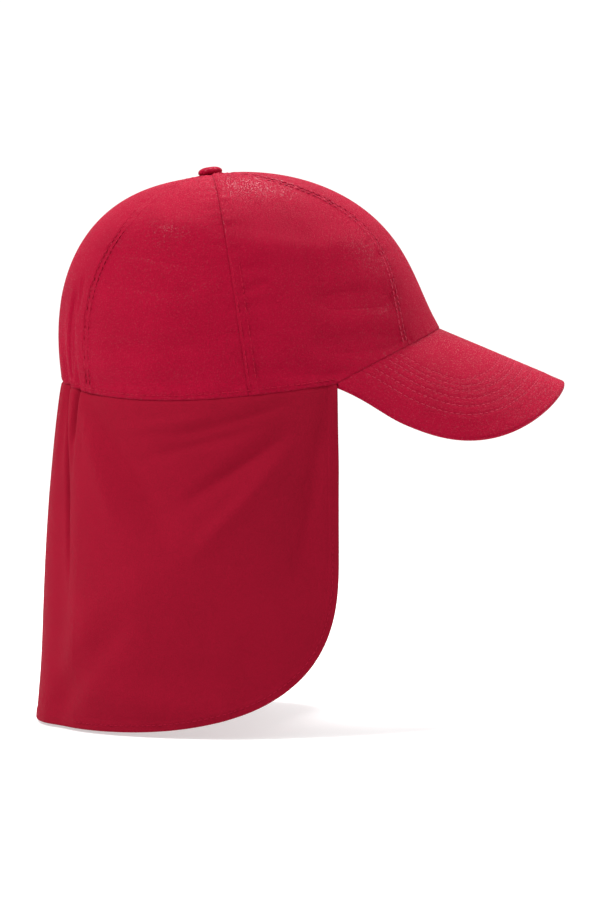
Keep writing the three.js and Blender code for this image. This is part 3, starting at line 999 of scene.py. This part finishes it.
def beads(line, out, sink=0.05):
    """The stitches of one row: line is on the cloth, out its normals, both in millimetres.

    A bead's point is its middle, plus a step along the row, plus the thread's radius times the
    cosine of the turn to the side and its sine upwards.
    """
    run = lengths(line, 0)
    places = np.arange(STITCH_START, run[-1] - STITCH_END, STITCH_PITCH)
    middle = followed(line, run, places)
    along = followed(line, run, places + 0.4) - followed(line, run, places - 0.4)
    along /= np.linalg.norm(along, axis=-1, keepdims=True)
    side = unit(np.cross(along, followed(out, run, places)))
    up = np.cross(side, along)
    step, swell = BEAD_RINGS.T
    rise = BEAD_LIFT - sink - BEAD_DIP * np.abs(step)
    centre = middle[:, None] + along[:, None] * (step * STITCH_LENGTH / 2)[:, None]
    centre = centre + up[:, None] * rise[:, None]
    turn = np.linspace(0, 2 * np.pi, BEAD_SIDES, endpoint=False)[:, None]
    circle = side[:, None] * np.cos(turn) + up[:, None] * np.sin(turn)
    points = centre[:, :, None] + THREAD * swell[:, None, None] * circle[:, None]
    return points.reshape(len(places), -1, 3)


def bead_faces():
    """The quads of one bead's rings, and its two ends as quads of the hexagon's halves."""
    rings = len(BEAD_RINGS)
    faces = []
    for r in range(rings - 1):
        for k in range(BEAD_SIDES):
            a, b = r * BEAD_SIDES + k, r * BEAD_SIDES + (k + 1) % BEAD_SIDES
            faces.append((a, a + BEAD_SIDES, b + BEAD_SIDES, b))
    last = (rings - 1) * BEAD_SIDES
    faces += [(0, 1, 2, 3), (0, 3, 4, 5)]
    faces += [(last + 3, last + 2, last + 1, last), (last + 5, last + 4, last + 3, last)]
    return np.array(faces)


def add_stitches(name, rows, slot, spun=thread):
    """One mesh of all the beads in several rows, of the thread that is spun."""
    points = np.concatenate(rows)
    count, each = points.shape[:2]
    faces = (bead_faces()[None] + (np.arange(count) * each)[:, None, None]).reshape(-1, 4)
    flat = points.reshape(-1, 3)
    made = add_mesh(name, flat, faces, uv=flat[:, [0, 2]], values={"seam": np.zeros(len(flat))})
    print(name, count, "stitches")
    return dress(made, spun, slot)


ROWS_END = 8.0  # the radius round the button's axis at which the rows stop
FIRST_TURN = 0.03
LAST_TURN = 1.56
NUDGE = 0.004  # a small step in radians, for the normals of the crown


def crown_out(angle, turn):
    """The crown's normals from two short steps, one round it and one up it."""
    here = crown_point(angle, turn)
    across = crown_point(angle + NUDGE, turn) - here
    climb = crown_point(angle, np.minimum(turn + NUDGE, LAST_TURN)) - here
    return unit(np.cross(across, climb))


def crown_row(seam, side, offset):
    """A row beside a seam, offset towards the back if positive, with its normals."""
    turn = np.linspace(FIRST_TURN, LAST_TURN - 0.06, 260)
    angle = seam_angle(seam, turn, side)
    here = crown_point(angle, turn)
    radius = np.hypot(here[:, 0] + BUTTON_BEHIND, here[:, 1])
    offset_angle = angle + side * offset / radius
    out = crown_out(offset_angle, turn)
    line = crown_point(offset_angle, turn) + out * FELL_LIFT
    keep = radius > ROWS_END + abs(offset)
    return worn(line[keep]), worn(out[keep])


front_rows, seam_rows = [], []
for side in (-1, 1):
    for offset in (ROW_INNER, ROW_OUTER):
        front_rows.append(beads(*crown_row("front", side, offset), sink=0.02))
        seam_rows.append(beads(*crown_row("side", side, -offset)))
        seam_rows.append(beads(*crown_row("back", side, -offset)))


def rim_row():
    """The row above the rim, from one end of the peak round the nape to the other."""
    behind_peak = np.radians(PEAK_SPREAD)
    angle = np.linspace(behind_peak, 2 * np.pi - behind_peak, 1200)
    turn = np.full_like(angle, turn_at(RIM_ROW))
    return worn(crown_point(angle, turn)), worn(crown_out(angle, turn))


add_stitches("front_stitches", front_rows, "crown_cotton", bright_thread)
add_stitches("crown_stitches", seam_rows + [beads(*rim_row())], "crown_cotton")


def offset_line(line, distance):
    """A flat line moved to its left by a distance, with the points where it folds back dropped."""
    tangent = unit(np.gradient(line, axis=0))
    moved = line + distance * np.stack([-tangent[:, 1], tangent[:, 0]], axis=-1)
    return moved[nearest(moved, line) > distance * 0.985]


def peak_out(across):
    """The bent peak's normals: they lean to the side with the bend and ahead with the droop."""
    bend = across / PEAK_BEND_RADIUS
    upright = np.cos(bend)
    return np.stack([np.sin(DROOP) * upright, np.sin(bend), np.cos(DROOP) * upright], axis=-1)


def peak_rows():
    """The peak's rows on both faces, cut off where they reach the crown."""
    outline = peak_outline(np.linspace(1, -1, 900))
    spread = np.radians(PEAK_SPREAD)
    root = np.stack(on_peak(*opening_point(np.linspace(-spread, spread, 400))), axis=-1)
    rows = []
    for distance in PEAK_ROWS:
        line = offset_line(outline, distance)
        root_ahead = np.interp(line[:, 0], root[:, 0], root[:, 1])
        line = line[line[:, 1] > root_ahead + 0.5]
        out = worn(peak_out(line[:, 0]))
        for below, face in ((0, 1), (PEAK_WALL, -1)):
            points = peak_point(line[:, 0], line[:, 1], below)
            rows.append(beads(worn(points), out * face, sink=0.02))
    return rows


add_stitches("peak_stitches", peak_rows(), "peak_cotton", bright_thread)


HEM_NUDGE = 0.3  # a short step in millimetres, for the normals of the flap


def hem_row():
    """The row inside the flap's free edge, lifted on to the turned hem, with its normals."""
    line = offset_line(flap_edge_line(1400), FLAP_HEM_ROW)
    spot = flap_point(line[:, 0], line[:, 1])
    across = flap_point(line[:, 0] + HEM_NUDGE, line[:, 1]) - spot
    climb = flap_point(line[:, 0], line[:, 1] + HEM_NUDGE) - spot
    out = unit(np.cross(across, climb))
    return spot + out * FLAP_HEM_LIFT, out


flap_stitches = add_stitches("flap_stitches", [beads(*hem_row())], "flap_cotton", dull_thread)

# %% [markdown]
# ## What the cloth is
# The line of the rim along which the flap is cut, in even steps along its width.

cut_along = np.linspace(0, flap_width, 2000)
cut_angle = np.interp(cut_along, rim_run, rim_angles)
cut_rim = worn(np.stack([*opening_point(cut_angle), rim_height(cut_angle)], axis=-1))

# %% [markdown]
# ## Studio
# A white floor and soft light from above, as in a catalogue. The strongest lamp stands beyond the
# cap, so the near side falls off below a bright top. A small one above the nape grazes the flap,
# because its slow folds vanish in even light. The floor lies just under the flap's hem and only
# a shadow tells where it is.

# %% Floor, light and world
FLOOR_BELOW = 1.5
FLOOR_NEAR = -6000.0
FLOOR_FAR = 30000.0
FLOOR_SIDE = 9000.0
floor_level = hem_level - FLOOR_BELOW
floor = add_mesh(
    "floor",
    np.array(
        [
            [-FLOOR_SIDE, FLOOR_NEAR, floor_level],
            [FLOOR_SIDE, FLOOR_NEAR, floor_level],
            [FLOOR_SIDE, FLOOR_FAR, floor_level],
            [-FLOOR_SIDE, FLOOR_FAR, floor_level],
        ]
    ),
    np.array([[0, 1, 2, 3]]),
)
paper = Graph("paper")
grain = paper.node("ShaderNodeTexNoise", Scale=3.0)
paper_surface = paper.node(
    "ShaderNodeBsdfPrincipled",
    **{
        "Base Color": paper.mix(grain, colour(0.57, 0.57, 0.57), colour(0.59, 0.59, 0.59)),
        "Roughness": 0.9,
        "Emission Color": colour(1, 1, 1),
        "Emission Strength": 0.5,
    },
)
paper.finish(paper_surface)
floor.data.materials.append(paper.material)


def soft_light(name, place, aim, size, power):
    """A square area light at a place in metres, turned to its aim."""
    lamp = bpy.data.objects.new(name, bpy.data.lights.new(name, "AREA"))
    lamp.data.shape = "SQUARE"
    lamp.data.size = size
    lamp.data.energy = power
    lamp.location = place
    lamp.rotation_euler = (Vector(aim) - Vector(place)).to_track_quat("-Z", "Y").to_euler()
    bpy.context.scene.collection.objects.link(lamp)


soft_light("overhead", (0.1, 0.85, 1.3), (0, 0, 0), 0.45, 26)
soft_light("front_top", (1.2, 0.3, 1.0), (0.05, 0, 0), 0.5, 9.5)
soft_light("left_top", (-0.75, -0.42, 1.15), (0, 0, -0.05), 0.3, 17)

SKY_BACK = 1.08  # the white behind the cap
SKY_NEAR = 0.32  # and on the camera's side, so that it doesn't flatten the folds
world = bpy.data.worlds.new("studio")
bpy.context.scene.world = world
world.use_nodes = True
sky = world.node_tree
direction = Value(sky, sky.nodes.new("ShaderNodeTexCoord").outputs["Generated"])
parts = sky.nodes.new("ShaderNodeSeparateXYZ")
sky.links.new(direction.socket, parts.inputs[0])
towards_back = Value(sky, parts.outputs["Y"])
glow = (towards_back * (SKY_BACK - SKY_NEAR) + SKY_BACK).math("MINIMUM", SKY_BACK)
sky.links.new(glow.socket, sky.nodes["Background"].inputs["Strength"])
sky.nodes["Background"].inputs["Color"].default_value = (1, 1, 1, 1)
bpy.context.scene.view_settings.view_transform = "Standard"
